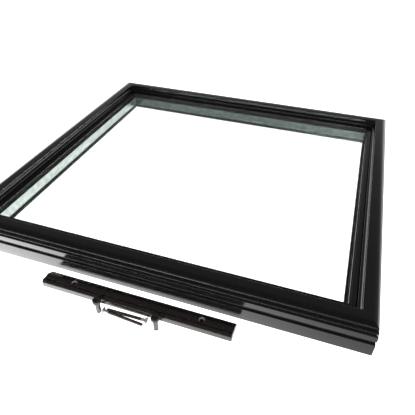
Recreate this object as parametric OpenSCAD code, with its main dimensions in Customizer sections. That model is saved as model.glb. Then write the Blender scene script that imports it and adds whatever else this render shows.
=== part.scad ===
// Window sash with an insulating glass unit, and its loose pull-handle kit.
// The sash lies flat, glazing beads up. The handle bar, its two screws and its two
// sleeve nuts lie in front of it. Origin: middle of the whole set's footprint.

/* [Sash] */
// Width of the sash over its top outer edges
sash_w = 544; // [420:1:800]
// Depth of the sash over its top outer edges
sash_d = 500; // [420:1:800]
// Thickness of the sash, from its foot to its top face
sash_h = 46.5; // [44:0.5:60]
// Width of the top face, from the outer edge to its inner edge
top_w = 18.4; // [17:0.2:22]
// Width of the crowned outer part of the top face
crown_w = 12; // [8:0.5:14]
// How far the crown falls towards the outer edge
crown_drop = 3; // [1:0.25:3.5]
// How far the side stands out at its foot, past the top edge
foot_flare = 2; // [1:0.25:4]
// Wall of the hollow rails
rail_wall = 1.8; // [1.4:0.1:2.2]
// Width of the glazing rebate's ledge under the glass
ledge_w = 15.5; // [14:0.5:20]
// Thickness of the ledge under the glass
ledge_t = 1.5; // [1.2:0.1:3]
// Radius of the cove between the top face and the bead
cove_r = 3.5; // [2.5:0.25:4]
// Height of the straight step above the cove
cove_step = 3.8; // [1.5:0.1:4.5]

/* [Side grooves] */
// Height of the foot of the seal groove
seal_groove_z = 18.2; // [16:0.2:20]
// Width of the seal groove
seal_groove_w = 6; // [4:0.25:7]
// Depth of the seal groove
seal_groove_depth = 4.6; // [3:0.2:5]
// How far the seal strip stays back from the side
seal_recess = 2.6; // [0.2:0.1:3]
// Width of the shadow groove under the top edge
shadow_groove_w = 4.5; // [2:0.25:5]
// Depth of the shadow groove
shadow_groove_depth = 2; // [1:0.2:2.6]
// Height of the flat lip between the shadow groove and the cove in the side
lip_h = 1.6; // [0.8:0.1:2]
// Height of the cove in the side, under the lip
side_cove_h = 4.8; // [4:0.2:6.5]
// Depth of the cove in the side
side_cove_depth = 1.3; // [0.6:0.1:1.8]

/* [Glass unit] */
// Thickness of each pane
pane_t = 4; // [3:0.5:5]
// Gap between the panes
cavity = 16; // [12:1:16]
// Gap from the rebate's wall to the edge of the glass
pane_gap = 3.5; // [2:0.25:5]
// Width of the aluminium spacer bar
spacer_w = 5.5; // [5:0.25:7]
// Wall of the spacer bar
spacer_wall = 0.6; // [0.4:0.05:0.9]
// Width of the edge sealant behind the spacer
sealant_w = 3; // [2:0.25:4]
// Thickness of the butyl between spacer and pane
butyl_t = 0.3; // [0.2:0.05:0.5]
// Thickness of the gasket under the lower pane
ledge_gasket_t = 0.8; // [0.6:0.1:2]

/* [Glazing bead] */
// Width of the bead's top
bead_w = 8.3; // [7:0.1:10]
// Height of the bead above its gasket
bead_h = 7.4; // [6:0.1:9]
// Wall of the bead
bead_wall = 1.4; // [1:0.1:1.8]
// Thickness of the gasket between bead and upper pane
bead_gasket_t = 1.6; // [1:0.1:2.5]
// Width of the gasket between bead and upper pane
bead_gasket_w = 6; // [4:0.25:7]
// Open joint between bead and rail
bead_joint = 0.5; // [0.3:0.05:0.9]

/* [Inner pieces] */
// Length of a corner key's leg
key_leg = 42; // [30:1:60]
// Length of a setting block
block_len = 60; // [40:1:90]
// Distance of a setting block from the glass corner
block_inset = 70; // [50:1:110]
// Length of a spacer corner key's leg
spacer_key_leg = 22; // [15:1:30]

/* [Handle bar] */
// Length of the handle bar
bar_len = 246; // [220:1:320]
// Width of the handle bar
bar_w = 22; // [20:0.5:28]
// Height of the handle bar
bar_h = 10.7; // [9.5:0.1:13]
// Distance between the two screw holes
bar_hole_spacing = 168; // [120:1:190]
// Diameter of the screw holes
bar_hole_d = 4.5; // [4.2:0.1:5]
// Diameter of the countersinks
countersink_d = 8.6; // [8.2:0.1:9]
// Free space between the sash and the bar
bar_gap = 11; // [8:0.5:20]
// Sideways place of the bar from the middle of the sash
bar_shift = 3; // [-40:1:40]

/* [Screws and sleeve nuts] */
// Diameter of the screws
screw_d = 4; // [3.5:0.1:4]
// Length of the screws, head included
screw_len = 52; // [45:1:56]
// Diameter of the screw heads
screw_head_d = 8; // [7:0.1:8.2]
// Height of the cone under the screw heads
screw_head_h = 2.2; // [1.8:0.1:2.6]
// Height of a sleeve nut, head included
nut_h = 21.5; // [18:0.5:30]
// Diameter of a sleeve nut's head
nut_head_d = 10.2; // [9:0.1:12]
// Thickness of a sleeve nut's head
nut_head_t = 4.4; // [3.5:0.1:6]
// Diameter of a sleeve nut's barrel
nut_barrel_d = 6; // [5.5:0.1:7]
// Core diameter of the thread in a sleeve nut
nut_thread_d = 3.3; // [3:0.05:3.5]
// Distance between the two sleeve nuts
nut_spacing = 74; // [68:1:100]
// Distance from the front of the bar to the sleeve nuts
nut_gap = 11.5; // [9:0.5:20]

/* [Hidden] */
$fn = 48;

// The four sides, counted anticlockwise from the front when seen from above.
FRONT = 0;
RIGHT = 1;
BACK = 2;
LEFT = 3;

black = [0.05, 0.05, 0.055];
rubber = [0.03, 0.03, 0.03];
clear_glass = [0.72, 0.86, 0.82, 0.35];
mill_aluminium = [0.72, 0.75, 0.74];
zinc = [0.55, 0.56, 0.58];
bar_brown = [0.09, 0.07, 0.06];
screw_steel = [0.30, 0.28, 0.27];
grey_plastic = [0.35, 0.36, 0.38];
white_beads = [0.85, 0.83, 0.78];

arc_steps = 8;
edge_r = 1;
edge_bevel = 0.6;
lip_out = 1.4;
fit_gap = 0.1;

// Heights through the glass unit, from the ledge up.
pane_lower_z = ledge_t + ledge_gasket_t;
cavity_z = pane_lower_z + pane_t;
pane_upper_z = cavity_z + cavity;
glass_top_z = pane_upper_z + pane_t;
bead_z = glass_top_z + bead_gasket_t;
bead_top_z = bead_z + bead_h;

// Distances inwards from the top outer edge.
rebate_u = top_w - 0.4;
ledge_end_u = rebate_u + ledge_w;
pane_u = rebate_u + pane_gap;
spacer_u = pane_u + sealant_w;
spacer_end_u = spacer_u + spacer_w;
cove_end_u = top_w + cove_r + 0.1;
riser_foot_u = cove_end_u + 1.2;
bead_u = riser_foot_u + bead_joint;
bead_end_u = bead_u + bead_w;
bead_gasket_u = bead_end_u - bead_gasket_w + 0.3;

cove_top_z = sash_h - cove_step;
cove_end_z = cove_top_z - cove_r;
overhang_z = bead_top_z - 2.6;
hook_t = bead_wall;
hook_z = overhang_z - 1 - hook_t;
hook_depth = 1;

top_edge_z = sash_h - crown_drop;
shadow_top_z = top_edge_z - 1;
shadow_foot_z = shadow_top_z - shadow_groove_w;
side_cove_z = shadow_foot_z - lip_h;
side_cove_foot_z = side_cove_z - side_cove_h;
seal_groove_top_z = seal_groove_z + seal_groove_w;

chamber_u = max(shadow_groove_depth, seal_groove_depth - foot_flare) + rail_wall + 0.1;
chamber_end_u = rebate_u - hook_depth - rail_wall + 1;
chamber_split_z = seal_groove_top_z + 1.5;

// The kit lies in front of the sash and sets the middle of the footprint.
nut_head_r = nut_head_d / 2;
kit_reach = bar_gap + bar_w + nut_gap + nut_head_r;
sash_y = kit_reach / 2;
sash_front_y = sash_y - sash_d / 2 - foot_flare;
bar_back_y = sash_front_y - bar_gap;
bar_front_y = bar_back_y - bar_w;
bar_hole_y = bar_back_y - 0.48 * bar_w;
nut_y = bar_front_y - nut_gap;
screw_middle_x = bar_shift - 4;

function half_depth(side) = (side % 2 == 0) ? sash_d / 2 : sash_w / 2;
function run(side) = (side % 2 == 0) ? sash_w : sash_d;

// Points of an arc about [cu, cz], from angle a to angle b.
function arc(cu, cz, r, a, b, n = arc_steps) =
    [for (i = [0:n]) [cu + r * cos(a + (b - a) * i / n), cz + r * sin(a + (b - a) * i / n)]];

// A section drawn in [u, z] becomes a bar along one side, mitred at both corners.
module mitred_bar(side) {
    long = run(side);
    reach = 60;
    translate([0, sash_y, 0])
        rotate([0, 0, 90 * side])
            translate([0, -half_depth(side), 0])
                intersection() {
                    rotate([90, 0, 90])
                        translate([0, 0, -long / 2 - reach])
                            linear_extrude(height = long + 2 * reach)
                                children();
                    translate([0, 0, -1])
                        linear_extrude(height = sash_h + 10)
                            polygon([
                                [-long / 2 - reach, -reach], [long / 2 + reach, -reach],
                                [long / 2 - reach, reach], [-long / 2 + reach, reach]
                            ]);
                }
}

// A box given by its range of u, its range along the side from the middle, and its heights.
module side_box(side, u0, u1, along0, along1, z0, z1) {
    translate([0, sash_y, 0])
        rotate([0, 0, 90 * side])
            translate([along0, u0 - half_depth(side), z0])
                cube([along1 - along0, u1 - u0, z1 - z0]);
}

// Outline of the rail: crowned top, cove, bead riser, rebate, ledge, foot and grooved side.
module rail_outline() {
    crown_r = (crown_w * crown_w + crown_drop * crown_drop) / (2 * crown_drop);
    crown_angle = asin(crown_w / crown_r);
    side_cove_r = (side_cove_h * side_cove_h / 4 + side_cove_depth * side_cove_depth)
        / (2 * side_cove_depth);
    side_cove_a = asin(side_cove_h / 2 / side_cove_r);
    side_cove_u = side_cove_depth - side_cove_r - lip_out;
    polygon(concat(
        arc(crown_w, sash_h - crown_r, crown_r, 90 + crown_angle, 90),
        arc(top_w - edge_r, sash_h - edge_r, edge_r, 90, 0, 5),
        arc(cove_end_u, cove_top_z, cove_end_u - top_w, 180, 270),
        [
            [cove_end_u + 0.4, cove_end_z], [cove_end_u + 0.7, cove_end_z - 0.3],
            [riser_foot_u, overhang_z + 1.2], [riser_foot_u, overhang_z],
            [rebate_u, overhang_z],
            [rebate_u, hook_z + hook_t + fit_gap], [rebate_u - hook_depth, hook_z + hook_t + fit_gap],
            [rebate_u - hook_depth, hook_z - fit_gap], [rebate_u, hook_z - fit_gap],
            [rebate_u, ledge_t], [ledge_end_u - 0.5, ledge_t],
            [ledge_end_u, ledge_t - 0.5], [ledge_end_u, 0.4], [ledge_end_u - 0.4, 0],
            [-foot_flare + edge_bevel, 0], [-foot_flare, edge_bevel],
            [-foot_flare, seal_groove_z - edge_bevel], [-foot_flare + edge_bevel, seal_groove_z],
            [-foot_flare + seal_groove_depth, seal_groove_z],
            [-foot_flare + seal_groove_depth, seal_groove_top_z],
            [-foot_flare + 0.4, seal_groove_top_z], [-foot_flare + 0.1, seal_groove_top_z + 0.4],
            [-foot_flare + 0.2, side_cove_foot_z - 0.3], [-foot_flare + 0.4, side_cove_foot_z]
        ],
        [for (p = arc(side_cove_u, side_cove_foot_z + side_cove_h / 2, side_cove_r,
                      -side_cove_a, side_cove_a))
            if (p[1] > side_cove_foot_z + 0.1) p],
        [
            [-lip_out, side_cove_z + 0.3], [-lip_out + 0.1, shadow_foot_z - 0.4],
            [-lip_out + 0.5, shadow_foot_z],
            [shadow_groove_depth, shadow_foot_z], [shadow_groove_depth, shadow_top_z],
            [0.3, shadow_top_z], [0, shadow_top_z + 0.3]
        ]
    ));
}

module rail_chambers() {
    lower_z = ledge_t + rail_wall - 1;
    polygon([
        [chamber_u, lower_z], [chamber_end_u, lower_z],
        [chamber_end_u, chamber_split_z - rail_wall], [chamber_u, chamber_split_z - rail_wall]
    ]);
    polygon([
        [chamber_u, chamber_split_z], [chamber_end_u, chamber_split_z],
        [chamber_end_u, sash_h - rail_wall], [crown_w - 3, sash_h - rail_wall],
        [chamber_u, sash_h - crown_drop - rail_wall + 0.6]
    ]);
}

module rail(side) {
    color(black)
        mitred_bar(side)
            difference() {
                rail_outline();
                rail_chambers();
            }
}

// Snap-in glazing bead: a C section whose hook sits in the rail's slot.
module bead(side) {
    color(black)
        mitred_bar(side)
            polygon(concat(
                [[bead_u + 0.3, bead_top_z], [bead_u, bead_top_z - 0.3]],
                [
                    [bead_u, hook_z + hook_t], [rebate_u - hook_depth + fit_gap, hook_z + hook_t],
                    [rebate_u - hook_depth + fit_gap, hook_z], [bead_u + bead_wall, hook_z],
                    [bead_u + bead_wall, bead_top_z - bead_wall],
                    [bead_end_u - bead_wall, bead_top_z - bead_wall],
                    [bead_end_u - bead_wall, bead_z + bead_wall],
                    [bead_gasket_u, bead_z + bead_wall], [bead_gasket_u, bead_z],
                    [bead_end_u - 0.3, bead_z], [bead_end_u, bead_z + 0.3]
                ],
                arc(bead_end_u - edge_r, bead_top_z - edge_r, edge_r, 0, 90, 5)
            ));
}

// Four mitred strips of one rectangular section.
module strip_ring(u0, u1, z0, z1) {
    for (side = [FRONT, RIGHT, BACK, LEFT])
        mitred_bar(side)
            polygon([[u0, z0], [u1, z0], [u1, z1], [u0, z1]]);
}

module weather_seal() {
    seal_u0 = -foot_flare + seal_recess;
    seal_u1 = -foot_flare + seal_groove_depth;
    middle_z = seal_groove_z + seal_groove_w / 2;
    color(rubber)
        for (side = [FRONT, RIGHT, BACK, LEFT])
            mitred_bar(side)
                polygon([
                    [seal_u1, seal_groove_z + fit_gap], [seal_u1, seal_groove_top_z - fit_gap],
                    [seal_u0 + 0.8, seal_groove_top_z - fit_gap], [seal_u0, middle_z + 0.8],
                    [seal_u0, middle_z - 0.8], [seal_u0 + 0.8, seal_groove_z + fit_gap]
                ]);
}

module bead_gasket() {
    color(rubber)
        strip_ring(bead_gasket_u, bead_end_u + 0.4, glass_top_z, bead_z);
}

module ledge_gasket() {
    color(rubber)
        strip_ring(spacer_u, ledge_end_u - 0.6, ledge_t, pane_lower_z);
}

// Blocks that centre the glass in the rebate, two along each side.
module setting_blocks() {
    color(grey_plastic)
        for (side = [FRONT, RIGHT, BACK, LEFT])
            for (end = [-1, 1]) {
                middle = end * (run(side) / 2 - pane_u - block_inset);
                side_box(side, rebate_u, pane_u, middle - block_len / 2, middle + block_len / 2,
                         pane_lower_z, glass_top_z);
            }
}

// L-shaped key in the lower chamber of two rails; corner n joins side n to the next side.
module corner_key(side) {
    u0 = chamber_u + fit_gap;
    u1 = chamber_end_u - fit_gap;
    z0 = ledge_t + rail_wall - 1 + fit_gap;
    z1 = chamber_split_z - rail_wall - fit_gap;
    next = (side + 1) % 4;
    color(mill_aluminium)
        union() {
            side_box(side, u0, u1, run(side) / 2 - key_leg, run(side) / 2 - u0, z0, z1);
            side_box(next, u0, u1, -run(next) / 2 + u0, -run(next) / 2 + key_leg, z0, z1);
        }
}

module pane(z) {
    color(clear_glass)
        translate([-sash_w / 2 + pane_u, sash_y - sash_d / 2 + pane_u, z])
            cube([sash_w - 2 * pane_u, sash_d - 2 * pane_u, pane_t]);
}

// Hollow aluminium bar between the panes, mitred at the corners.
module spacer(side) {
    z0 = cavity_z + butyl_t;
    z1 = pane_upper_z - butyl_t;
    color(mill_aluminium)
        mitred_bar(side)
            difference() {
                polygon([
                    [spacer_u, z0 + 0.8], [spacer_u + 0.8, z0], [spacer_end_u, z0],
                    [spacer_end_u, z1], [spacer_u + 0.8, z1], [spacer_u, z1 - 0.8]
                ]);
                polygon([
                    [spacer_u + spacer_wall, z0 + 1], [spacer_u + 1, z0 + spacer_wall],
                    [spacer_end_u - spacer_wall, z0 + spacer_wall],
                    [spacer_end_u - spacer_wall, z1 - spacer_wall],
                    [spacer_u + 1, z1 - spacer_wall], [spacer_u + spacer_wall, z1 - 1]
                ]);
            }
}

module spacer_fill(side, from, to, inset) {
    side_box(side, spacer_u + 1.2, spacer_end_u - spacer_wall - inset, from, to,
             cavity_z + butyl_t + spacer_wall + inset, pane_upper_z - butyl_t - spacer_wall - inset);
}

module spacer_corner_keys() {
    color(grey_plastic)
        for (side = [FRONT, RIGHT, BACK, LEFT]) {
            next = (side + 1) % 4;
            union() {
                spacer_fill(side, run(side) / 2 - spacer_u - spacer_key_leg,
                            run(side) / 2 - spacer_u - 1.2, fit_gap);
                spacer_fill(next, -run(next) / 2 + spacer_u + 1.2,
                            -run(next) / 2 + spacer_u + spacer_key_leg, fit_gap);
            }
        }
}

// Drying beads packed in each spacer bar, between the corner keys.
module desiccant() {
    color(white_beads)
        for (side = [FRONT, RIGHT, BACK, LEFT]) {
            half = run(side) / 2 - spacer_u - spacer_key_leg - 1;
            spacer_fill(side, -half, half, fit_gap);
        }
}

module butyl(z) {
    color(rubber)
        strip_ring(spacer_u + 0.8, spacer_end_u, z, z + butyl_t);
}

module edge_sealant() {
    color(rubber)
        strip_ring(pane_u, spacer_u, cavity_z, pane_upper_z);
}

// Extruded pull bar: a low back slope, a dished top and a steep front bevel.
module handle_bar() {
    ridge_v = bar_hole_y + 1.2;
    crest_v = bar_front_y + 3;
    ridge_z = bar_h - 0.6;
    dish_depth = 0.35;
    dish_w = ridge_v - crest_v;
    dish_r = (dish_w * dish_w / 4 + dish_depth * dish_depth) / (2 * dish_depth);
    dish_a = asin(dish_w / 2 / dish_r);
    sink_h = (countersink_d - bar_hole_d) / 2;
    sink_top_z = ridge_z - 0.9;
    sink_z = sink_top_z - sink_h;
    color(bar_brown)
        difference() {
            rotate([90, 0, 90])
                translate([0, 0, bar_shift - bar_len / 2])
                    linear_extrude(height = bar_len)
                        polygon(concat(
                            [
                                [bar_back_y - 0.4, 0], [bar_back_y, 0.4],
                                [bar_back_y, 0.42 * bar_h], [bar_back_y - 0.5, 0.42 * bar_h + 0.6],
                                [ridge_v + 0.5, ridge_z - 0.1]
                            ],
                            arc((ridge_v + crest_v) / 2, ridge_z + dish_r - dish_depth, dish_r,
                                270 + dish_a, 270 - dish_a),
                            [
                                [crest_v - 0.2, bar_h - 0.2], [crest_v - 0.7, bar_h - 0.5],
                                [bar_front_y + 0.2, 0.68 * bar_h + 0.3], [bar_front_y, 0.68 * bar_h],
                                [bar_front_y, 0.4], [bar_front_y + 0.4, 0]
                            ]
                        ));
            for (end = [-1, 1])
                translate([bar_shift + end * bar_hole_spacing / 2, bar_hole_y, 0])
                    rotate_extrude()
                        polygon([
                            [0, -1], [bar_hole_d / 2, -1], [bar_hole_d / 2, sink_z],
                            [countersink_d / 2, sink_top_z], [countersink_d / 2, bar_h + 2],
                            [0, bar_h + 2]
                        ]);
        }
}

// Countersunk screw drawn along +X from its head, with a cross recess.
module screw() {
    shank_end = screw_len - 1;
    color(screw_steel)
        difference() {
            rotate([0, 90, 0])
                rotate_extrude()
                    polygon([
                        [0, 0], [screw_head_d / 2 - 0.2, 0], [screw_head_d / 2, 0.3],
                        [screw_d / 2, 0.3 + screw_head_h], [screw_d / 2, shank_end],
                        [screw_d / 2 - 0.6, screw_len], [0, screw_len]
                    ]);
            for (turn = [0, 90])
                rotate([turn, 0, 0])
                    translate([-1, -0.5, -screw_head_d / 3.6])
                        cube([2.2, 1, screw_head_d / 1.8]);
        }
}

// A screw lies on the rim of its head and on the end of its shank.
module lying_screw(x, y, heading) {
    rim = screw_head_d / 2;
    rim_t = 0.3;
    tilt = atan((rim - screw_d / 2) / (screw_len - 1 - rim_t));
    translate([x, y, rim * cos(tilt) + rim_t * sin(tilt)])
        rotate([0, 0, heading])
            rotate([0, tilt, 0])
                screw();
}

module left_screw() {
    lying_screw(screw_middle_x - 27, nut_y + 0.6, -2.6);
}

module right_screw() {
    lying_screw(screw_middle_x + 27.6, nut_y + 3.9, 179.4);
}

function nut_x(end) = bar_shift + end * nut_spacing / 2;

// Threaded steel barrel with a flange that the cap is moulded over.
module nut_barrel(end) {
    flange_z = nut_h - nut_head_t;
    flange_t = 1.4;
    flange_r = nut_head_r - 1;
    thread_depth = flange_z - 3;
    color(zinc)
        translate([nut_x(end), nut_y, 0])
            difference() {
                rotate_extrude()
                    polygon([
                        [0, 0], [nut_barrel_d / 2 - 0.3, 0], [nut_barrel_d / 2, 0.3],
                        [nut_barrel_d / 2, flange_z], [flange_r, flange_z],
                        [flange_r, flange_z + flange_t], [0, flange_z + flange_t]
                    ]);
                translate([0, 0, -1])
                    cylinder(h = thread_depth + 1, d = nut_thread_d);
            }
}

module nut_cap(end) {
    flange_z = nut_h - nut_head_t;
    flange_t = 1.4;
    flange_r = nut_head_r - 1;
    socket_d = 4.6;
    color(black)
        translate([nut_x(end), nut_y, 0])
            difference() {
                rotate_extrude()
                    polygon(concat(
                        [[0, flange_z + flange_t], [flange_r, flange_z + flange_t], [flange_r, flange_z],
                         [nut_head_r - 0.2, flange_z], [nut_head_r, flange_z + 0.2]],
                        arc(nut_head_r - edge_r, nut_h - edge_r, edge_r, 0, 90, 5),
                        [[0, nut_h]]
                    ));
                translate([0, 0, nut_h - 2])
                    cylinder(h = 3, d = socket_d, $fn = 6);
            }
}

rail(FRONT);  // front_rail
rail(RIGHT);  // right_stile
rail(BACK);  // back_rail
rail(LEFT);  // left_stile
bead(FRONT);  // front_bead
bead(RIGHT);  // right_bead
bead(BACK);  // back_bead
bead(LEFT);  // left_bead
corner_key(LEFT);  // front_left_corner_key
corner_key(FRONT);  // front_right_corner_key
corner_key(RIGHT);  // back_right_corner_key
corner_key(BACK);  // back_left_corner_key
weather_seal();
bead_gasket();
ledge_gasket();
setting_blocks();
pane(pane_upper_z);  // upper_pane
pane(pane_lower_z);  // lower_pane
spacer(FRONT);  // front_spacer
spacer(RIGHT);  // right_spacer
spacer(BACK);  // back_spacer
spacer(LEFT);  // left_spacer
spacer_corner_keys();
desiccant();
butyl(pane_upper_z - butyl_t);  // upper_butyl
butyl(cavity_z);  // lower_butyl
edge_sealant();
handle_bar();
left_screw();
right_screw();
nut_barrel(-1);  // left_nut_barrel
nut_cap(-1);  // left_nut_cap
nut_barrel(1);  // right_nut_barrel
nut_cap(1);  // right_nut_cap
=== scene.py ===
# %% [markdown]
# # A window sash and its loose pull-handle kit
#
# The sash lies flat on a bright table. It is a black mitred frame that holds a sealed
# double-glass unit. In front of it lie a pull bar, two long screws and two sleeve nuts.
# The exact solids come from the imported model, and this script gives them their looks.

from math import atan, cos, radians, sin, sqrt

import bmesh
import bpy
from mathutils import Matrix, Vector


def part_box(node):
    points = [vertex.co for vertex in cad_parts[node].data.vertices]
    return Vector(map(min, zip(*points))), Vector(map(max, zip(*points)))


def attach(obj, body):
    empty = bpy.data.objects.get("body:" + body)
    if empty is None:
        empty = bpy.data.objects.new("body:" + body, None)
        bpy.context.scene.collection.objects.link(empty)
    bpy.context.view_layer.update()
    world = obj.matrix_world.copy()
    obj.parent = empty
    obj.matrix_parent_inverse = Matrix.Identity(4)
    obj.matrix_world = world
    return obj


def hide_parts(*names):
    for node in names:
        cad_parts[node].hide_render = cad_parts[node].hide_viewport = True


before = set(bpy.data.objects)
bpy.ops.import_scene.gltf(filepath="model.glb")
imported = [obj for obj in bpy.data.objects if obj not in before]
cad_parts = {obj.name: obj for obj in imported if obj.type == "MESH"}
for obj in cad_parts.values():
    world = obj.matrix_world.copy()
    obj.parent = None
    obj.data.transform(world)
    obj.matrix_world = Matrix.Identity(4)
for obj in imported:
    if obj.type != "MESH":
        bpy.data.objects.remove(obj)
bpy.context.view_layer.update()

# %% [markdown]
# Every size below is in millimetres, as on a workshop drawing, and MM turns it into
# Blender's metres. The sash's own four sides are numbered anticlockwise from the front.
# A profile is drawn once, as steps inwards from the top outer edge and upwards from the
# table, so the same drawing serves all four sides.

# %% Places taken from the model
MM = 0.001
SIDES = {"front": 0, "right": 1, "back": 2, "left": 3}
FOOT_FLARE = 2.0

foot_low, foot_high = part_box("front_rail")
back_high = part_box("back_rail")[1]
sash_w = (foot_high.x - foot_low.x) / MM - 2 * FOOT_FLARE
sash_d = (back_high.y - foot_low.y) / MM - 2 * FOOT_FLARE
sash_y = (back_high.y + foot_low.y) / 2 / MM
print(f"top outer edges {sash_w:.1f} by {sash_d:.1f} mm, middle at y {sash_y:.1f}")


def run_length(side):
    """Length of a side over its top outer edge."""
    return sash_w if SIDES[side] % 2 == 0 else sash_d


def half_depth(side):
    """From the middle of the sash to a side's top outer edge."""
    return sash_d / 2 if SIDES[side] % 2 == 0 else sash_w / 2


# %% [markdown]
# Small helpers keep the later cells short. A material here is a chain of nodes, so the
# helper makes a node, sets its inputs by name and returns it.

# %% Helpers for materials
def new_material(name):
    """An empty node material with its surface shader and its object coordinates."""
    mat = bpy.data.materials.new(name)
    mat.use_nodes = True
    nodes = mat.node_tree.nodes
    shader = nodes["Principled BSDF"]
    coords = nodes.new("ShaderNodeTexCoord").outputs["Object"]
    return mat, shader, coords


def add_node(mat, kind, links=None, **inputs):
    """A node of that kind; links joins its inputs to other nodes' outputs."""
    node = mat.node_tree.nodes.new("ShaderNode" + kind)
    for name, value in inputs.items():
        node.inputs[name.replace("_", " ")].default_value = value
    for name, output in (links or {}).items():
        mat.node_tree.links.new(output, node.inputs[name])
    return node


def join(mat, output, target):
    mat.node_tree.links.new(output, target)


def stretch(mat, coords, scale):
    """The object's coordinates, squeezed so that a pattern runs long and thin."""
    return add_node(mat, "Mapping", {"Vector": coords}, Scale=scale).outputs["Vector"]


def noise(mat, vector, scale, detail=3.0, roughness=0.5):
    node = add_node(mat, "TexNoise", {"Vector": vector}, Scale=scale, Detail=detail,
                    Roughness=roughness)
    return node.outputs["Fac"]


def spread(mat, value, low, high, out_low, out_high):
    """Turns the part of a value between low and high into another range."""
    node = add_node(mat, "MapRange", {"Value": value})
    for name, number in (("From Min", low), ("From Max", high),
                         ("To Min", out_low), ("To Max", out_high)):
        node.inputs[name].default_value = number
    return node.outputs["Result"]


def two_colors(mat, factor, first, second):
    node = mat.node_tree.nodes.new("ShaderNodeMix")
    node.data_type = "RGBA"
    join(mat, factor, node.inputs["Factor"])
    node.inputs["A"].default_value = (*first, 1)
    node.inputs["B"].default_value = (*second, 1)
    return node.outputs["Result"]


def bump(mat, height, depth, strength=1.0):
    """Small relief of that depth in metres."""
    node = add_node(mat, "Bump", {"Height": height}, Strength=strength, Distance=depth)
    return node.outputs["Normal"]


# %% [markdown]
# ## Black extruded profile
#
# The rails are a smooth black extrusion. Die lines run along each piece, so the noise is
# stretched along the run: the front and back rails run along X, the stiles along Y. A
# slow wave in the roughness and a few dust specks keep the gloss from looking painted on.

# %% Black frame finish
FRAME_BLACK = (0.003, 0.003, 0.0032)
FRAME_DUST = (0.014, 0.014, 0.0135)
ALONG = 4
ACROSS = 900


def frame_finish(name, runs_along_x, gloss):
    mat, shader, coords = new_material(name)
    lines = (ALONG, ACROSS, ACROSS) if runs_along_x else (ACROSS, ALONG, ACROSS)
    die_lines = noise(mat, stretch(mat, coords, lines), 1.0, 2.0)
    haze = noise(mat, coords, 14.0, 4.0)
    grit = noise(mat, coords, 900.0, 1.0)
    dust = spread(mat, grit, 0.66, 0.80, 0.0, 1.0)
    join(mat, two_colors(mat, dust, FRAME_BLACK, FRAME_DUST), shader.inputs["Base Color"])
    join(mat, spread(mat, haze, 0.3, 0.7, gloss, gloss + 0.06), shader.inputs["Roughness"])
    join(mat, bump(mat, die_lines, 0.00000008), shader.inputs["Normal"])
    shader.inputs["IOR"].default_value = 1.85
    return mat


FRAME_FINISH = {
    "front": frame_finish("frame_black_x", True, 0.10),
    "right": frame_finish("frame_black_y", False, 0.10),
}
FRAME_FINISH["back"] = FRAME_FINISH["front"]
FRAME_FINISH["left"] = FRAME_FINISH["right"]
print("frame finishes:", sorted({m.name for m in FRAME_FINISH.values()}))

# %% [markdown]
# ## The profiles as bars
#
# A profile starts as one flat face with a corner for each bend. Extruding the face along
# the side gives a bar, bisect_plane cuts its two mitres, and bevel rounds each long edge
# by its own amount. Bevelling last keeps every rounding exact up to the mitre.

# %% Bar from an outline
MITRE_GAP = 0.03
ROUND_STEPS = 5


def grow_along_x(outline, start, length):
    """A straight bar along X from an outline of (across, up, rounding) corners."""
    bm = bmesh.new()
    corners = [bm.verts.new((start, u, z)) for u, z, _ in outline]
    face = bm.faces.new(corners)
    grown = bmesh.ops.extrude_face_region(bm, geom=[face])
    far = [v for v in grown["geom"] if isinstance(v, bmesh.types.BMVert)]
    bmesh.ops.translate(bm, verts=far, vec=(length, 0, 0))
    return bm


def outline_bar(outline, side, name, steps=ROUND_STEPS):
    """A mitred bar on one side. Each corner of the outline is (inwards, up, rounding)."""
    run = run_length(side)
    reach = 60.0
    bm = grow_along_x(outline, -run / 2 - reach, run + 2 * reach)
    for end in (-1, 1):
        cut = bmesh.ops.bisect_plane(
            bm, geom=bm.verts[:] + bm.edges[:] + bm.faces[:], dist=1e-6,
            plane_co=(end * (run / 2 - MITRE_GAP), 0, 0), plane_no=(end, 1, 0), clear_outer=True)
        rim = [e for e in cut["geom_cut"] if isinstance(e, bmesh.types.BMEdge)]
        bmesh.ops.edgeloop_fill(bm, edges=rim)
    round_corners(bm, outline, steps)
    bmesh.ops.recalc_face_normals(bm, faces=bm.faces)
    bmesh.ops.translate(bm, verts=bm.verts, vec=(0, -half_depth(side), 0))
    turn = Matrix.Rotation(radians(90 * SIDES[side]), 3, "Z")
    bmesh.ops.rotate(bm, verts=bm.verts, matrix=turn)
    bmesh.ops.translate(bm, verts=bm.verts, vec=(0, sash_y, 0))
    bmesh.ops.scale(bm, verts=bm.verts, vec=(MM, MM, MM))
    return finished(bm, name)


def round_corners(bm, outline, steps):
    """Bevels the long edge that leaves each corner of the outline."""
    for u, z, rounding in outline:
        if rounding <= 0:
            continue
        here = Vector((u, z))
        edge = [e for e in bm.edges if e.calc_length() > 100
                and all((Vector(v.co.yz) - here).length < 1e-3 for v in e.verts)]
        bmesh.ops.bevel(bm, geom=edge, offset=rounding, offset_type="OFFSET",
                        segments=12 if rounding > 3 else steps, profile=0.5,
                        affect="EDGES", material=-1, clamp_overlap=True)


def finished(bm, name, sharp=32):
    """The mesh as an object at the origin, smooth except at corners sharper than that."""
    mesh = bpy.data.meshes.new(name)
    bm.to_mesh(mesh)
    bm.free()
    soften(mesh, sharp)
    obj = bpy.data.objects.new(name, mesh)
    bpy.context.scene.collection.objects.link(obj)
    return obj


def soften(mesh, sharp):
    """Smooth shading, except over edges sharper than that many degrees."""
    mesh.polygons.foreach_set("use_smooth", [True] * len(mesh.polygons))
    mesh.set_sharp_from_angle(angle=radians(sharp))


def dress(obj, material, slot, body, *nodes):
    """Gives a piece its finish, its body and the solids that it stands for."""
    obj.data.materials.clear()
    obj.data.materials.append(material)
    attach(obj, body)
    if nodes:
        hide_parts(*nodes)
    return obj


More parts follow.
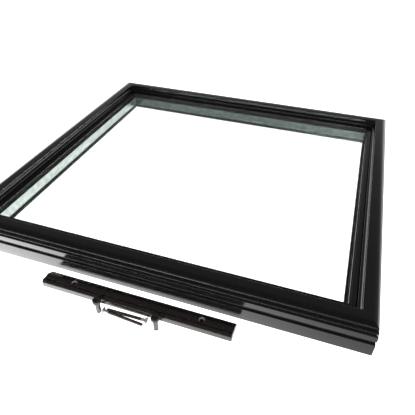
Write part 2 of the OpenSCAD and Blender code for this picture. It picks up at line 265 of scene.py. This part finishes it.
def second_finish(obj, material, chosen):
    """Gives the faces that the test picks a second finish."""
    obj.data.materials.append(material)
    for face in obj.data.polygons:
        if chosen(face):
            face.material_index = 1


# %% [markdown]
# ## Rails and stiles
#
# The top of the rail is crowned towards the outside and ends in a rounded inner edge.
# From there it drops in a cove to a small step, down to the glazing bead. The outer side
# has, from the top: a shadow groove, a lip, a cove, a flat ledge, the deep groove of the
# weather seal, and a flat lower face that stands out a little.

# %% Rail outline
SASH_H = 46.5
TOP_EDGE_Z = 43.5
CROWN_CORNER_U = 4.4
TOP_W = 18.4
COVE_FOOT_Z = 39.2
STEP_U = 22.7
RISER_U = 23.2
OVERHANG_Z = 32.7
REBATE_U = 18.0
LEDGE_END_U = 33.5
SEAL_Z = (18.2, 24.2)
LIP_Z = (36.4, 38.0)

rail_outline = [
    (0.95, TOP_EDGE_Z + 0.67, 0.3), (CROWN_CORNER_U, SASH_H, 3.8),
    (TOP_W, SASH_H, 0.55),
    (TOP_W, COVE_FOOT_Z, 3.3), (STEP_U, COVE_FOOT_Z, 0.4), (RISER_U, OVERHANG_Z, 0),
    (REBATE_U, OVERHANG_Z, 0), (REBATE_U, 31.8, 0), (REBATE_U - 1, 31.8, 0),
    (REBATE_U - 1, 30.2, 0), (REBATE_U, 30.2, 0), (REBATE_U, 1.5, 0),
    (LEDGE_END_U, 1.5, 0.4), (LEDGE_END_U, 0, 0.35), (-FOOT_FLARE, 0, 0.5),
    (-FOOT_FLARE, SEAL_Z[0], 0.6), (2.6, SEAL_Z[0], 0), (2.6, SEAL_Z[1], 0),
    (-1.9, SEAL_Z[1], 0.35), (-1.8, 31.6, 0.12), (1.0, 33.4, 0.4),
    (-1.4, LIP_Z[0], 0.08), (-0.25, LIP_Z[1], 0.3), (2.0, LIP_Z[1], 0.2),
    (2.0, 42.5, 0.3), (0, 42.5, 0.06),
]
RAIL_NODES = {"front": "front_rail", "right": "right_stile",
              "back": "back_rail", "left": "left_stile"}
for side, node in RAIL_NODES.items():
    rail = outline_bar(rail_outline, side, node + "_profile")
    dress(rail, FRAME_FINISH[side], "frame_black", "sash", node)
    print(rail.name, len(rail.data.polygons), "faces")

# %% [markdown]
# ## Glazing beads
#
# Each bead is a snap-in strip with a flat top, a rounded inner edge that catches the
# light, and a fine score line along its top. Its hook sits in the rail's slot, out of sight.

# %% Bead outline
BEAD_U = 23.7
BEAD_END_U = 31.9
BEAD_TOP_Z = 35.3
BEAD_Z = 27.9
SCORE_U = 30.0
RUBBER_TOP_Z = 34.1

bead_outline = [
    (BEAD_U, BEAD_TOP_Z, 0.4), (BEAD_U, 31.7, 0), (17.1, 31.7, 0), (17.1, 30.3, 0),
    (25.1, 30.3, 0), (25.1, 33.9, 0), (30.5, 33.9, 0), (30.5, 29.3, 0), (26.3, 29.3, 0),
    (26.3, BEAD_Z, 0), (BEAD_END_U, BEAD_Z, 0.3),
    (BEAD_END_U, RUBBER_TOP_Z, 0), (BEAD_END_U, BEAD_TOP_Z, 0.5),
    (SCORE_U + 0.2, BEAD_TOP_Z, 0), (SCORE_U, BEAD_TOP_Z - 0.15, 0),
    (SCORE_U - 0.2, BEAD_TOP_Z, 0),
]
for side in SIDES:
    bead = outline_bar(bead_outline, side, side + "_bead_profile")
    dress(bead, FRAME_FINISH[side], "bead_black", "sash", side + "_bead")
    print(bead.name, len(bead.data.polygons), "faces")

# %% [markdown]
# ## Rubber: weather seal, gaskets and sealant
#
# Rubber is nearly black and matt, with a fine grain. The weather seal gets a round nose
# and two grooves along it, so it is made here; the gaskets keep their solids. A rubber
# skin covers the bead's upright face above the glass, so that face doesn't shine.

# %% Rubber finish and weather seal
def rubber_finish(name, color):
    mat, shader, coords = new_material(name)
    grain = noise(mat, coords, 1800.0, 3.0)
    bloom = noise(mat, coords, 45.0, 3.0)
    pale = tuple(c * 2.2 + 0.004 for c in color)
    join(mat, two_colors(mat, spread(mat, bloom, 0.35, 0.75, 0.0, 1.0), color, pale),
         shader.inputs["Base Color"])
    join(mat, spread(mat, grain, 0.3, 0.7, 0.55, 0.75), shader.inputs["Roughness"])
    join(mat, bump(mat, grain, 0.00002), shader.inputs["Normal"])
    return mat


RUBBER = rubber_finish("black_rubber", (0.006, 0.006, 0.006))
FOAM = rubber_finish("grey_foam", (0.055, 0.058, 0.056))
seal_outline = [
    (2.55, 18.35, 0), (2.55, 24.05, 0), (1.4, 24.05, 0.4), (0.7, 22.4, 0.4),
    (1.3, 21.2, 0.3), (0.7, 20.0, 0.4), (1.4, 18.35, 0.4),
]
seal_sides = [outline_bar(seal_outline, side, "weather_seal_" + side) for side in SIDES]
for strip in seal_sides:
    dress(strip, RUBBER, "black_rubber", "sash", "weather_seal")
print("weather seal in", len(seal_sides), "strips")


def faces_the_glass(face, side):
    """True on the upright inner face of a bead."""
    off = face.center.y / MM - sash_y if SIDES[side] % 2 == 0 else face.center.x / MM
    inwards = half_depth(side) - abs(off)
    return inwards > BEAD_END_U - 0.1 and face.center.z / MM < RUBBER_TOP_Z


for side in SIDES:
    bead = bpy.data.objects[side + "_bead_profile"]
    second_finish(bead, RUBBER, lambda face: faces_the_glass(face, side))

# %% [markdown]
# ## Glass
#
# Float glass is clear with a slight green tint, which shows where light travels far
# through it. The shader lets light through and bends it; the faint ripple that rolled
# glass has is a bump thousands of times flatter than the pane is thick.

# %% Clear glass finish
def glass_finish():
    mat, shader, coords = new_material("clear_glass")
    ripple = noise(mat, coords, 5.0, 1.0)
    smears = noise(mat, stretch(mat, coords, (9, 30, 9)), 1.0, 4.0)
    shader.inputs["Base Color"].default_value = (0.955, 0.985, 0.97, 1)
    shader.inputs["Transmission Weight"].default_value = 1.0
    shader.inputs["IOR"].default_value = 1.52
    join(mat, spread(mat, smears, 0.62, 0.8, 0.0, 0.02), shader.inputs["Roughness"])
    join(mat, bump(mat, ripple, 0.00001), shader.inputs["Normal"])
    return mat


GLASS = glass_finish()

# %% [markdown]
# ## Bare metals and hidden plastics
#
# The spacer bars are rolled aluminium, drawn lengthways. The corner keys are sawn
# extrusions, and the sleeve nuts are turned and zinc plated. One function makes them all,
# because they differ in colour, gloss and the direction of their fine lines. All four
# spacer bars are the same aluminium: the front and back bars get a dark colour as painted
# shade, and the left and right bars a light colour as painted light.

# %% Metal finish
def metal_finish(name, color, lines, gloss, depth=0.000003, metallic=1.0):
    mat, shader, coords = new_material(name)
    streaks = noise(mat, stretch(mat, coords, lines), 1.0, 3.0)
    stains = noise(mat, coords, 120.0, 4.0)
    dark = tuple(c * 0.62 for c in color)
    join(mat, two_colors(mat, spread(mat, stains, 0.35, 0.8, 0.0, 1.0), color, dark),
         shader.inputs["Base Color"])
    join(mat, spread(mat, streaks, 0.3, 0.7, gloss, gloss + 0.14), shader.inputs["Roughness"])
    join(mat, bump(mat, streaks, depth), shader.inputs["Normal"])
    shader.inputs["Metallic"].default_value = metallic
    return mat


# Painted shade: the front and back spacers are darkened. Painted light: the left and right spacers
# are lightened. Both pairs are the same aluminium.
SPACER_PAINTED_SHADE = metal_finish("spacer_aluminium_painted_shade", (0.15, 0.175, 0.165), (8, 700, 700), 0.26, 0.000001)
SPACER_PAINTED_LIGHT = metal_finish("spacer_aluminium_painted_light", (0.72, 0.78, 0.75), (700, 8, 700), 0.26, 0.000001)
MILL_ALUMINIUM = metal_finish("mill_aluminium", (0.66, 0.67, 0.67), (200, 200, 900), 0.3)
ZINC = metal_finish("zinc_steel", (0.13, 0.13, 0.135), (300, 300, 2500), 0.16)
SCREW_STEEL = metal_finish("screw_steel", (0.15, 0.125, 0.115), (900, 900, 900), 0.22,
                           metallic=0.85)
BRIGHT_STEEL = metal_finish("bright_steel", (0.40, 0.39, 0.38), (900, 900, 900), 0.25,
                            metallic=0.8)


def plastic_finish(name, color, gloss, grain_scale=900.0, grain_depth=0.00001):
    mat, shader, coords = new_material(name)
    grain = noise(mat, coords, grain_scale, 3.0)
    tone = noise(mat, coords, 60.0, 3.0)
    deep = tuple(c * 0.75 for c in color)
    join(mat, two_colors(mat, spread(mat, tone, 0.3, 0.7, 0.0, 1.0), color, deep),
         shader.inputs["Base Color"])
    join(mat, spread(mat, grain, 0.3, 0.7, gloss, gloss + 0.12), shader.inputs["Roughness"])
    join(mat, bump(mat, grain, grain_depth), shader.inputs["Normal"])
    return mat


GREY_PLASTIC = plastic_finish("grey_plastic", (0.30, 0.31, 0.33), 0.45)
DRYING_BEADS = plastic_finish("drying_beads", (0.62, 0.58, 0.50), 0.7, 1400.0, 0.0005)
CAP_BLACK = plastic_finish("cap_black", (0.010, 0.010, 0.010), 0.22)

# %% Finishes for the solids that stay
KEPT = {
    RUBBER: ["bead_gasket", "upper_butyl", "lower_butyl", "edge_sealant"],
    FOAM: ["ledge_gasket"],
    GLASS: ["upper_pane", "lower_pane"],
    SPACER_PAINTED_SHADE: ["front_spacer", "back_spacer"],
    SPACER_PAINTED_LIGHT: ["left_spacer", "right_spacer"],
    MILL_ALUMINIUM: ["front_left_corner_key", "front_right_corner_key",
                     "back_right_corner_key", "back_left_corner_key"],
    GREY_PLASTIC: ["setting_blocks", "spacer_corner_keys"],
    DRYING_BEADS: ["desiccant"],
}


def paint(node, material):
    """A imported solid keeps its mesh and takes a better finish."""
    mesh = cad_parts[node].data
    mesh.materials.clear()
    mesh.materials.append(material)


for material, nodes in KEPT.items():
    for node in nodes:
        paint(node, material)
    print(material.name, "on", len(nodes), "solids")

# %% [markdown]
# ## Turned shapes and cuts
#
# Screws and sleeve nuts are turned on a lathe, so half of their outline is spun round an
# axis. Holes and sockets are cut with a Boolean against a tool shape, as a drill would.
# The result is made real at once, and the tool is thrown away.

# %% Lathe and cutter
LATHE_STEPS = 40


def lathe(half_outline, steps=LATHE_STEPS):
    """Spins (radius, height) corners round the Z axis into a closed shape."""
    bm = bmesh.new()
    corners = [bm.verts.new((r, 0, z)) for r, z in half_outline]
    line = [bm.edges.new(pair) for pair in zip(corners, corners[1:])]
    bmesh.ops.spin(bm, geom=corners + line, cent=(0, 0, 0), axis=(0, 0, 1),
                   angle=radians(360), steps=steps, use_merge=True)
    bmesh.ops.remove_doubles(bm, verts=bm.verts, dist=0.001)
    return face_outwards(bm)


def face_outwards(bm):
    """Makes the faces agree, then turns a shape that came out inside out."""
    bmesh.ops.recalc_face_normals(bm, faces=bm.faces)
    if bm.calc_volume(signed=True) < 0:
        bmesh.ops.reverse_faces(bm, faces=bm.faces)
    return bm


def cut_away(obj, cutter, sharp=32):
    """Takes the cutter's shape out of the piece."""
    tool = obj.modifiers.new("cut", "BOOLEAN")
    tool.operation = "DIFFERENCE"
    tool.solver = "EXACT"
    tool.object = cutter
    graph = bpy.context.evaluated_depsgraph_get()
    mesh = bpy.data.meshes.new_from_object(obj.evaluated_get(graph))
    obj.modifiers.clear()
    obj.data = mesh
    soften(mesh, sharp)
    bpy.data.objects.remove(cutter)


def to_place(bm, turn, x, y, z):
    """Turns a shape drawn at the origin, moves it to its place and makes it metres."""
    bmesh.ops.rotate(bm, verts=bm.verts, matrix=turn)
    bmesh.ops.translate(bm, verts=bm.verts, vec=(x, y, z))
    bmesh.ops.scale(bm, verts=bm.verts, vec=(MM, MM, MM))
    return bm


# %% [markdown]
# ## Handle bar
#
# The bar is an extrusion with a long sloping back, a ridge, a shallow dish and a blunt
# front. Its finish is a very dark bronze with lines along X. The screw holes are
# countersunk, and the bare metal near each hole shows as a bright ring.

# %% Bar with countersunk holes
bar_low, bar_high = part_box("handle_bar")
BAR_BACK, BAR_FRONT = bar_high.y / MM, bar_low.y / MM
BAR_START, BAR_LENGTH = bar_low.x / MM, (bar_high.x - bar_low.x) / MM
BAR_TOP = bar_high.z / MM
HOLE_Y = -248.76
HOLE_X = (-81.0, 87.0)
HOLE_R, BRIGHT_R, SINK_R, SINK_TOP = 2.25, 3.5, 4.3, 9.2
RIDGE_Y, CREST_Y = HOLE_Y + 1.2, BAR_FRONT + 3.0
RIDGE_Z, DISH_DEPTH = BAR_TOP - 0.6, 0.35

dish = []
for share in (0.2, 0.4, 0.6, 0.75):
    sag = DISH_DEPTH * (1 - (2 * share - 1) ** 2)
    dish.append((RIDGE_Y + share * (CREST_Y - RIDGE_Y), RIDGE_Z - sag, 0))
bar_outline = [
    (BAR_BACK, 0, 0.4), (BAR_BACK, 4.9, 0.7), (RIDGE_Y + 0.1, RIDGE_Z + 0.15, 1.1),
    *dish,
    (CREST_Y + 1.7, RIDGE_Z - 0.05, 0), (CREST_Y, BAR_TOP, 0.4), (BAR_FRONT, 7.0, 0.5),
    (BAR_FRONT, 0, 0.4),
]
bm = grow_along_x(bar_outline, BAR_START, BAR_LENGTH)
round_corners(bm, bar_outline, 4)
bmesh.ops.recalc_face_normals(bm, faces=bm.faces)
bmesh.ops.scale(bm, verts=bm.verts, vec=(MM, MM, MM))
bar = finished(bm, "handle_bar_profile")
for hole_x in HOLE_X:
    drill = lathe([(0, -1), (HOLE_R, -1), (HOLE_R, SINK_TOP - SINK_R + HOLE_R),
                   (BRIGHT_R, SINK_TOP - SINK_R + BRIGHT_R), (SINK_R, SINK_TOP),
                   (SINK_R, 13), (0, 13)])
    to_place(drill, Matrix.Identity(3), hole_x, HOLE_Y, 0)
    cut_away(bar, finished(drill, "countersink_drill"))

BAR_BRONZE = metal_finish("bar_bronze", (0.0065, 0.0050, 0.0046), (6, 900, 900), 0.12,
                          0.0000004, 0.0)
BAR_BRONZE.node_tree.nodes["Principled BSDF"].inputs["IOR"].default_value = 1.85
dress(bar, BAR_BRONZE, "bar_brown", "handle_bar", "handle_bar")


def in_a_countersink(face):
    return face.normal.z > 0.3 and any(
        sqrt((face.center.x / MM - x) ** 2 + (face.center.y / MM - HOLE_Y) ** 2) < BRIGHT_R
        for x in HOLE_X)


second_finish(bar, BRIGHT_STEEL, in_a_countersink)
print("bar", len(bar.data.polygons), "faces")

# %% [markdown]
# ## Screws
#
# A long M4 screw has a countersunk head with a cross recess, a short bare neck and a
# thread of 0.7 mm pitch. The thread is one tooth spun up a helix: spin takes a step
# upwards with each step round, and one turn rises by one pitch, so the turns meet.

# %% Screw shapes
SCREW_LEN, HEAD_R, HEAD_H, SHANK_R = 52.0, 4.0, 2.2, 2.0
NECK_END, NECK_R, ROOT_R, PITCH = 7.0, 1.75, 1.62, 0.7
TURN_STEPS = 14


def helix(start, turns):
    """A thread along Z, with each end drawn to a point on the axis."""
    bm = bmesh.new()
    tooth = [(ROOT_R, 0), (SHANK_R, 0.42), (SHANK_R, 0.54), (ROOT_R, 0.92), (ROOT_R, 1)]
    corners = [bm.verts.new((r, 0, start + PITCH * share)) for r, share in tooth]
    line = [bm.edges.new(pair) for pair in zip(corners, corners[1:])]
    bmesh.ops.spin(bm, geom=corners + line, cent=(0, 0, 0), axis=(0, 0, 1),
                   dvec=(0, 0, PITCH / TURN_STEPS), angle=radians(360) * turns,
                   steps=TURN_STEPS * turns, use_merge=False)
    bmesh.ops.remove_doubles(bm, verts=bm.verts, dist=0.001)
    middle = start + PITCH * turns / 2
    rim = [e for e in bm.edges if e.is_boundary]
    for end, z in ((-1, start + PITCH / 2), (1, start + PITCH * (turns + 0.5))):
        loop = [e for e in rim if (e.verts[0].co.z - middle) * end > 0]
        grown = bmesh.ops.extrude_edge_only(bm, edges=loop)
        tips = [v for v in grown["geom"] if isinstance(v, bmesh.types.BMVert)]
        bmesh.ops.pointmerge(bm, verts=tips, merge_co=(0, 0, z))
    return face_outwards(bm)


def join_in(bm, other):
    """Adds another bmesh to this one and frees it."""
    carrier = bpy.data.meshes.new("carrier")
    other.to_mesh(carrier)
    other.free()
    bm.from_mesh(carrier)
    bpy.data.meshes.remove(carrier)


def cross_blade(angle):
    """One tapered wing of the cross recess, as a cutter."""
    bm = bmesh.new()
    bmesh.ops.create_cube(bm, size=1)
    bmesh.ops.scale(bm, verts=bm.verts, vec=(4.4, 0.95, 3.6))
    deep = [v for v in bm.verts if v.co.z > 0]
    bmesh.ops.scale(bm, verts=deep, vec=(0.45, 0.6, 1))
    bmesh.ops.rotate(bm, verts=bm.verts, matrix=Matrix.Rotation(radians(angle), 3, "Z"))
    bmesh.ops.scale(bm, verts=bm.verts, vec=(MM, MM, MM))
    return finished(bm, "cross_blade")


def screw(name, node, x, y, heading):
    """A screw that rests on its head's rim and its tip, heading that way from its head."""
    head = finished(to_place(lathe([
        (0, 0), (HEAD_R - 0.35, 0), (HEAD_R - 0.1, 0.1), (HEAD_R, 0.3),
        (NECK_R + 0.25, 0.2 + HEAD_H), (NECK_R, 0.6 + HEAD_H), (NECK_R, NECK_END),
        (ROOT_R, NECK_END + 0.4), (0, NECK_END + 0.4)]), Matrix.Identity(3), 0, 0, 0), name)
    for angle in (0, 90):
        cut_away(head, cross_blade(angle))
    bm = helix(NECK_END - 0.1, 62)
    tip = lathe([(0, 50.2), (ROOT_R + 0.05, 50.2), (ROOT_R, 51.2), (1.35, SCREW_LEN),
                 (0, SCREW_LEN)], 24)
    join_in(bm, tip)
    bmesh.ops.scale(bm, verts=bm.verts, vec=(MM, MM, MM))
    bm.from_mesh(head.data)
    bpy.data.objects.remove(head)
    tilt = atan((HEAD_R - SHANK_R) / (SCREW_LEN - 1 - 0.3))
    bmesh.ops.rotate(bm, verts=bm.verts,
                     matrix=Matrix.Rotation(radians(heading), 3, "Z")
                     @ Matrix.Rotation(radians(90) + tilt, 3, "Y"))
    rise = HEAD_R * cos(tilt) + 0.3 * sin(tilt)
    bmesh.ops.translate(bm, verts=bm.verts, vec=(x * MM, y * MM, rise * MM))
    piece = finished(bm, name, 40)
    dress(piece, SCREW_STEEL, "screw_steel", node, node)
    start = Vector((x, y, rise)) * MM
    second_finish(piece, BRIGHT_STEEL,
                  lambda face: 0.0029 < (face.center - start).length < (NECK_END + 0.3) * MM)
    print(name, len(piece.data.polygons), "faces")


NUT_Y = -271.7
screw("left_screw_threaded", "left_screw", -28, NUT_Y + 0.6, -2.6)
screw("right_screw_threaded", "right_screw", 26.6, NUT_Y + 3.9, 179.4)

# %% [markdown]
# ## Sleeve nuts
#
# Each nut is a turned steel barrel under a black cap, and it stands on its mouth. The cap
# has a rounded rim and a hexagon socket. The barrel shows turning rings and a chamfered
# mouth, and its bore takes a screw.

# %% Barrels and caps
NUT_X = {"left": -34.0, "right": 40.0}
NUT_H, CAP_R, FLANGE_Z, FLANGE_R, FLANGE_T = 21.5, 5.1, 17.1, 4.1, 1.4
BARREL_R, BORE_R, BORE_DEPTH = 3.0, 1.65, 14.1
RIM_R = 1.3

barrel_outline = [
    (BORE_R, BORE_DEPTH), (BORE_R, 0.45), (BORE_R + 0.4, 0), (BARREL_R - 0.35, 0),
    (BARREL_R, 0.35), (BARREL_R, 2.0), (BARREL_R - 0.12, 2.15), (BARREL_R - 0.12, 2.35),
    (BARREL_R, 2.5), (BARREL_R, FLANGE_Z), (FLANGE_R, FLANGE_Z),
    (FLANGE_R, FLANGE_Z + FLANGE_T), (0, FLANGE_Z + FLANGE_T), (0, BORE_DEPTH + 1),
    (BORE_R, BORE_DEPTH),
]
rim = [(CAP_R - RIM_R * (1 - cos(radians(a))), NUT_H - RIM_R * (1 - sin(radians(a))))
       for a in range(0, 91, 15)]
cap_outline = [
    (0, FLANGE_Z + FLANGE_T), (FLANGE_R, FLANGE_Z + FLANGE_T), (FLANGE_R, FLANGE_Z),
    (CAP_R - 0.25, FLANGE_Z), (CAP_R, FLANGE_Z + 0.25), *rim, (0, NUT_H),
]
for end, nut_x in NUT_X.items():
    body = end + "_sleeve_nut"
    bm = to_place(lathe(barrel_outline), Matrix.Identity(3), nut_x, NUT_Y, 0)
    barrel = finished(bm, end + "_nut_barrel_turned")
    dress(barrel, ZINC, "zinc_steel", body, end + "_nut_barrel")
    bm = to_place(lathe(cap_outline), Matrix.Identity(3), nut_x, NUT_Y, 0)
    cap = finished(bm, end + "_nut_cap_moulded")
    bm = bmesh.new()
    bmesh.ops.create_cone(bm, cap_ends=True, segments=6, radius1=2.2, radius2=2.4, depth=4)
    to_place(bm, Matrix.Identity(3), nut_x, NUT_Y, NUT_H)
    cut_away(cap, finished(bm, "hexagon_key"))
    dress(cap, CAP_BLACK, "cap_black", body, end + "_nut_cap")
    print(barrel.name, len(barrel.data.polygons), "faces,", cap.name, len(cap.data.polygons))

# %% [markdown]
# ## Table, light and camera
#
# The set was photographed on a white table and then cut out on pure white. Seen directly,
# or through the glass, the table is therefore plain white. The glossy black faces, and the
# light bounced onto the parts, see the table's colour instead. That colour carries painted
# light and painted shade: bright on the left, dim on the right, and dimmer towards the back.
# The front softbox casts a real shadow of the bar on it. The Light Path node tells the two
# kinds of ray apart.

# %% Table
TABLE_SIZE = 6.0
# The table's colour at its left and right ends: painted light.
TABLE_PAINTED_LIGHT_LEFT = 3.4
TABLE_PAINTED_LIGHT_RIGHT = 0.4
PAPER_WHITE = 1.9


def table_finish():
    mat, shader, coords = new_material("white_table")
    split = add_node(mat, "SeparateXYZ", {"Vector": coords})
    # Painted light and painted shade in the table's colour: bright on the left, dim on the right,
    # dimmer towards the back.
    fade = spread(mat, split.outputs["X"], -0.30, 0.30, 1.0, 0.0)
    curve = add_node(mat, "Math", {0: fade})
    curve.operation = "POWER"
    curve.inputs[1].default_value = 1.5
    tone = spread(mat, curve.outputs[0], 0.0, 1.0, TABLE_PAINTED_LIGHT_RIGHT, TABLE_PAINTED_LIGHT_LEFT)
    behind = spread(mat, split.outputs["Y"], -0.10, 0.30, 1.0, 0.25)
    both = add_node(mat, "Math", {0: tone, 1: behind})
    both.operation = "MULTIPLY"
    tone = both.outputs[0]
    lit = add_node(mat, "BsdfDiffuse", {"Color": tone})
    plain = add_node(mat, "Emission", Strength=PAPER_WHITE)
    rays = mat.node_tree.nodes.new("ShaderNodeLightPath").outputs
    bounced = add_node(mat, "Math", {0: rays["Is Glossy Ray"], 1: rays["Is Diffuse Ray"]})
    bounced.operation = "MAXIMUM"
    mirrored = add_node(mat, "Math", {0: bounced.outputs[0], 1: rays["Is Transmission Ray"]})
    mirrored.operation = "SUBTRACT"
    mirrored.use_clamp = True
    mix = mat.node_tree.nodes.new("ShaderNodeMixShader")
    join(mat, mirrored.outputs[0], mix.inputs[0])
    join(mat, plain.outputs[0], mix.inputs[1])
    join(mat, lit.outputs[0], mix.inputs[2])
    join(mat, mix.outputs[0], mat.node_tree.nodes["Material Output"].inputs["Surface"])
    return mat


bm = bmesh.new()
bmesh.ops.create_grid(bm, x_segments=1, y_segments=1, size=TABLE_SIZE)
bmesh.ops.translate(bm, verts=bm.verts, vec=(0, 0, -0.0002))
table = finished(bm, "white_table")
table.data.materials.append(table_finish())

# %% Softbox in front
KEY_SIZE = 0.7
KEY_DISTANCE = 2.0
KEY_ELEVATION = 36
KEY_AZIMUTH = 12
KEY_POWER = 78


def softbox(name, azimuth, elevation, distance, size, power):
    """A square light that looks at the middle of the sash."""
    light = bpy.data.lights.new(name, "AREA")
    light.size = size
    light.energy = power
    lamp = bpy.data.objects.new(name, light)
    turn = Matrix.Rotation(radians(azimuth), 3, "Z") @ Matrix.Rotation(radians(-elevation), 3, "X")
    lamp.location = turn @ Vector((0, -distance, 0))
    lamp.rotation_euler = lamp.location.to_track_quat("Z", "Y").to_euler()
    lamp.visible_glossy = False
    bpy.context.scene.collection.objects.link(lamp)
    return lamp


softbox("front_softbox", KEY_AZIMUTH, KEY_ELEVATION, KEY_DISTANCE, KEY_SIZE, KEY_POWER)

# %% Studio walls
def studio_world():
    """Bright walls low down and behind the set; dark in front and overhead."""
    world = bpy.data.worlds.new("studio")
    world.use_nodes = True
    bpy.context.scene.world = world
    coords = world.node_tree.nodes.new("ShaderNodeTexCoord").outputs["Generated"]
    split = add_node(world, "SeparateXYZ", {"Vector": coords})
    ramp = add_node(world, "ValToRGB", {"Fac": split.outputs["Z"]})
    stops = ramp.color_ramp.elements
    stops[0].position, stops[0].color = 0.0, (2.1, 2.1, 2.1, 1)
    stops[1].position, stops[1].color = 1.0, (0.04, 0.04, 0.04, 1)
    for position, light in ((0.20, 2.0), (0.30, 0.5), (0.45, 0.15), (0.65, 0.09)):
        stop = stops.new(position)
        stop.color = (light, light, light, 1)
    behind = spread(world, split.outputs["Y"], -0.2, 0.5, 0.12, 1.0)
    wall = world.node_tree.nodes.new("ShaderNodeMix")
    wall.data_type = "RGBA"
    wall.blend_type = "MULTIPLY"
    wall.inputs["Factor"].default_value = 1.0
    join(world, ramp.outputs["Color"], wall.inputs["A"])
    join(world, behind, wall.inputs["B"])
    join(world, wall.outputs["Result"],
         world.node_tree.nodes["Background"].inputs["Color"])


studio_world()

# %% Camera
camera_data = bpy.data.cameras.new("camera")
camera_data.lens = 36.84
camera = bpy.data.objects.new("camera", camera_data)
camera.location = (0.1891, -0.5332, 0.4086)
camera.rotation_euler = (radians(51.851), radians(-0.366), radians(18.977))
bpy.context.scene.collection.objects.link(camera)
bpy.context.scene.camera = camera
bpy.context.scene.view_settings.view_transform = "Standard"
bpy.context.scene.view_settings.look = "None"
